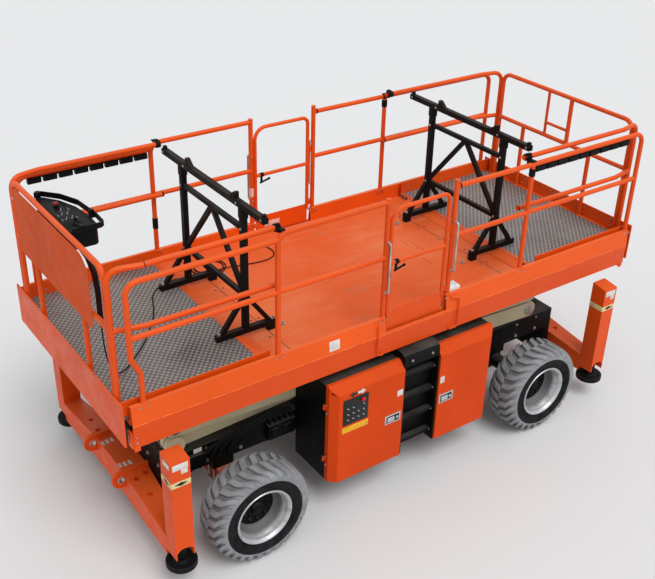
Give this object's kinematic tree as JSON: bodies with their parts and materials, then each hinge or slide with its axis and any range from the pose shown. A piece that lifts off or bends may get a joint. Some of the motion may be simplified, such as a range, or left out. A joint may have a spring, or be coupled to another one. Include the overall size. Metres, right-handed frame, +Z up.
{
  "type": "scissor lift",
  "caption": "Rough-terrain scissor lift: a long railed work platform with sliding extension decks on folding arms, over a wheeled chassis with levelling jacks.",
  "frame": {"origin": "on the ground, under the middle of the machine's length and width", "axes": "+X along the machine from the steer end to the drive end, +Z up, +Y to the side away from the ground controls"},
  "size_m": [5.008, 2.4, 2.688],
  "materials": {
    "orange_paint": "satin orange paint",
    "cream_paint": "satin cream paint",
    "black_paint": "satin black paint",
    "red_paint": "worn red-orange paint",
    "galvanised_steel": "dull galvanised",
    "dark_steel": "oiled dark steel",
    "chrome": "polished",
    "wheel_paint": "bright silver",
    "tyre_rubber": "dusty rubber",
    "black_plastic": "matt",
    "grey_plastic": "matt pale grey",
    "black_rubber": "matt",
    "bright_steel": "bright"
  },
  "bodies": {
    "chassis": {"chassis_frame": "black_paint", "outrigger_left": "orange_paint", "outrigger_right": "orange_paint", "steer_axle": "red_paint", "drive_axle": "black_paint", "tray_near": "black_paint", "tray_far": "black_paint", "ladder_near": "black_paint", "ladder_far": "black_paint", "engine": "dark_steel"},
    "knuckle_near": {"knuckle_near": "red_paint"},
    "knuckle_far": {"knuckle_far": "red_paint"},
    "wheel_left_near": {"tyre_left_near": "tyre_rubber", "rim_left_near": "wheel_paint"},
    "jack_left_near": {"jack_left_near": "dark_steel"},
    "hood_left_near": {"hood_left_near": "orange_paint"},
    "wheel_left_far": {"tyre_left_far": "tyre_rubber", "rim_left_far": "wheel_paint"},
    "jack_left_far": {"jack_left_far": "dark_steel"},
    "hood_left_far": {"hood_left_far": "orange_paint"},
    "wheel_right_near": {"tyre_right_near": "tyre_rubber", "rim_right_near": "wheel_paint"},
    "jack_right_near": {"jack_right_near": "dark_steel"},
    "hood_right_near": {"hood_right_near": "orange_paint"},
    "wheel_right_far": {"tyre_right_far": "tyre_rubber", "rim_right_far": "wheel_paint"},
    "jack_right_far": {"jack_right_far": "dark_steel"},
    "hood_right_far": {"hood_right_far": "orange_paint"},
    "arm_outer_1": {"arm_outer_1": "cream_paint"},
    "arm_inner_1": {"arm_inner_1": "cream_paint"},
    "arm_outer_2": {"arm_outer_2": "cream_paint"},
    "arm_inner_2": {"arm_inner_2": "cream_paint"},
    "arm_outer_3": {"arm_outer_3": "cream_paint"},
    "arm_inner_3": {"arm_inner_3": "cream_paint"},
    "lift_barrel": {"lift_barrel": "black_paint"},
    "lift_rod": {"lift_rod": "chrome"},
    "gate_near": {"gate_near": "orange_paint"},
    "gate_far": {"gate_far": "orange_paint"},
    "extension_left": {"extension_floor_left": "galvanised_steel", "end_plate_left": "orange_paint", "extension_rails_left": "orange_paint", "end_panel": "orange_paint", "control_box": "black_plastic", "control_cable": "black_rubber", "cable_plug": "black_plastic"},
    "extension_right": {"extension_floor_right": "galvanised_steel", "end_plate_right": "orange_paint", "extension_rails_right": "orange_paint"},
    "platform": {"grab_handles": "bright_steel", "main_floor": "orange_paint", "outlet_box": "grey_plastic", "pipe_rack_left": "black_paint", "pipe_rack_right": "black_paint", "platform_underframe": "black_paint", "rail_pads": "black_rubber", "side_beam_far": "orange_paint", "side_beam_near": "orange_paint", "side_rails_far": "orange_paint", "side_rails_near": "orange_paint", "slide_pads": "black_plastic"}
  },
  "joints": [
    {"name": "lift", "type": "hinge", "parent": "chassis", "child": "arm_outer_1", "pos_m": [1.75, 0, 0.84], "axis": [0, 1, 0], "range_deg": [0, 51.9]},
    {"name": "inner_1_fold", "type": "hinge", "parent": "arm_outer_1", "child": "arm_inner_1", "pos_m": [-0.0981, 0, 0.92392], "axis": [0, 1, 0], "range_deg": [-104, 0]},
    {"name": "inner_2_fold", "type": "hinge", "parent": "arm_outer_1", "child": "arm_inner_2", "pos_m": [-1.94619, 0, 1.00784], "axis": [0, 1, 0], "range_deg": [-104, 0]},
    {"name": "outer_2_fold", "type": "hinge", "parent": "arm_inner_2", "child": "arm_outer_2", "pos_m": [-0.0981, 0, 1.09177], "axis": [0, 1, 0], "range_deg": [0, 104]},
    {"name": "outer_3_fold", "type": "hinge", "parent": "arm_inner_2", "child": "arm_outer_3", "pos_m": [1.75, 0, 1.17569], "axis": [0, 1, 0], "range_deg": [0, 104]},
    {"name": "inner_3_fold", "type": "hinge", "parent": "arm_outer_3", "child": "arm_inner_3", "pos_m": [-0.0981, 0, 1.25961], "axis": [0, 1, 0], "range_deg": [-104, 0]},
    {"name": "platform_level", "type": "hinge", "parent": "arm_inner_3", "child": "platform", "pos_m": [1.75, 0, 1.34353], "axis": [0, 1, 0], "range_deg": [0, 52]},
    {"name": "cylinder_swing", "type": "hinge", "parent": "arm_inner_1", "child": "lift_barrel", "pos_m": [-0.39379, 0, 0.91049], "axis": [0, 1, 0], "range_deg": [0, 111.48]},
    {"name": "cylinder_stroke", "type": "slide", "parent": "lift_barrel", "child": "lift_rod", "axis": [-0.9995, 0, 0.0305], "range_m": [0, 0.41211]},
    {"name": "wheel_left_near", "type": "hinge", "parent": "knuckle_near", "child": "wheel_left_near", "pos_m": [-1.554, -1.04, 0.419], "axis": [0, 1, 0], "continuous": true},
    {"name": "wheel_left_far", "type": "hinge", "parent": "knuckle_far", "child": "wheel_left_far", "pos_m": [-1.554, 1.04, 0.419], "axis": [0, 1, 0], "continuous": true},
    {"name": "wheel_right_near", "type": "hinge", "parent": "chassis", "child": "wheel_right_near", "pos_m": [1.372, 0, 0.419], "axis": [0, 1, 0], "continuous": true},
    {"name": "wheel_right_far", "type": "hinge", "parent": "chassis", "child": "wheel_right_far", "pos_m": [1.372, 0, 0.419], "axis": [0, 1, 0], "continuous": true},
    {"name": "steer_near", "type": "hinge", "parent": "chassis", "child": "knuckle_near", "pos_m": [-1.554, -0.79, 0.419], "axis": [0, 0, 1], "range_deg": [-27, 27]},
    {"name": "steer_far", "type": "hinge", "parent": "chassis", "child": "knuckle_far", "pos_m": [-1.554, 0.79, 0.419], "axis": [0, 0, 1], "range_deg": [-27, 27]},
    {"name": "jack_left_near", "type": "slide", "parent": "chassis", "child": "jack_left_near", "axis": [0, 0, -1], "range_m": [0, 0.45]},
    {"name": "jack_left_far", "type": "slide", "parent": "chassis", "child": "jack_left_far", "axis": [0, 0, -1], "range_m": [0, 0.45]},
    {"name": "jack_right_near", "type": "slide", "parent": "chassis", "child": "jack_right_near", "axis": [0, 0, -1], "range_m": [0, 0.45]},
    {"name": "jack_right_far", "type": "slide", "parent": "chassis", "child": "jack_right_far", "axis": [0, 0, -1], "range_m": [0, 0.45]},
    {"name": "hood_left_near", "type": "hinge", "parent": "chassis", "child": "hood_left_near", "pos_m": [-0.892, -0.983, 0.5], "axis": [0, 0, -1], "range_deg": [0, 90]},
    {"name": "hood_left_far", "type": "hinge", "parent": "chassis", "child": "hood_left_far", "pos_m": [-0.892, 0.983, 0.5], "axis": [0, 0, 1], "range_deg": [0, 90]},
    {"name": "hood_right_near", "type": "hinge", "parent": "chassis", "child": "hood_right_near", "pos_m": [0.809, -0.983, 0.5], "axis": [0, 0, 1], "range_deg": [0, 90]},
    {"name": "hood_right_far", "type": "hinge", "parent": "chassis", "child": "hood_right_far", "pos_m": [0.809, 0.983, 0.5], "axis": [0, 0, -1], "range_deg": [0, 90]},
    {"name": "gate_near", "type": "hinge", "parent": "platform", "child": "gate_near", "pos_m": [0.268, -0.955, 2], "axis": [0, 0, -1], "range_deg": [0, 90]},
    {"name": "gate_far", "type": "hinge", "parent": "platform", "child": "gate_far", "pos_m": [0.268, 0.955, 2], "axis": [0, 0, 1], "range_deg": [0, 90]},
    {"name": "extend_left", "type": "slide", "parent": "platform", "child": "extension_left", "axis": [-1, 0, 0], "range_m": [0, 0.9]},
    {"name": "extend_right", "type": "slide", "parent": "platform", "child": "extension_right", "axis": [1, 0, 0], "range_m": [0, 0.9]}
  ],
  "couplings": [
    {"joint": "inner_1_fold", "follows": "lift", "ratio": -2},
    {"joint": "inner_2_fold", "follows": "lift", "ratio": -2},
    {"joint": "outer_2_fold", "follows": "lift", "ratio": 2},
    {"joint": "outer_3_fold", "follows": "lift", "ratio": 2},
    {"joint": "inner_3_fold", "follows": "lift", "ratio": -2},
    {"joint": "platform_level", "follows": "lift", "ratio": 1},
    {"joint": "cylinder_swing", "follows": "lift", "ratio": 2.146},
    {"joint": "cylinder_stroke", "follows": "lift", "m_per_rad": 0.45385},
    {"joint": "steer_far", "follows": "steer_near", "ratio": 1}
  ]
}
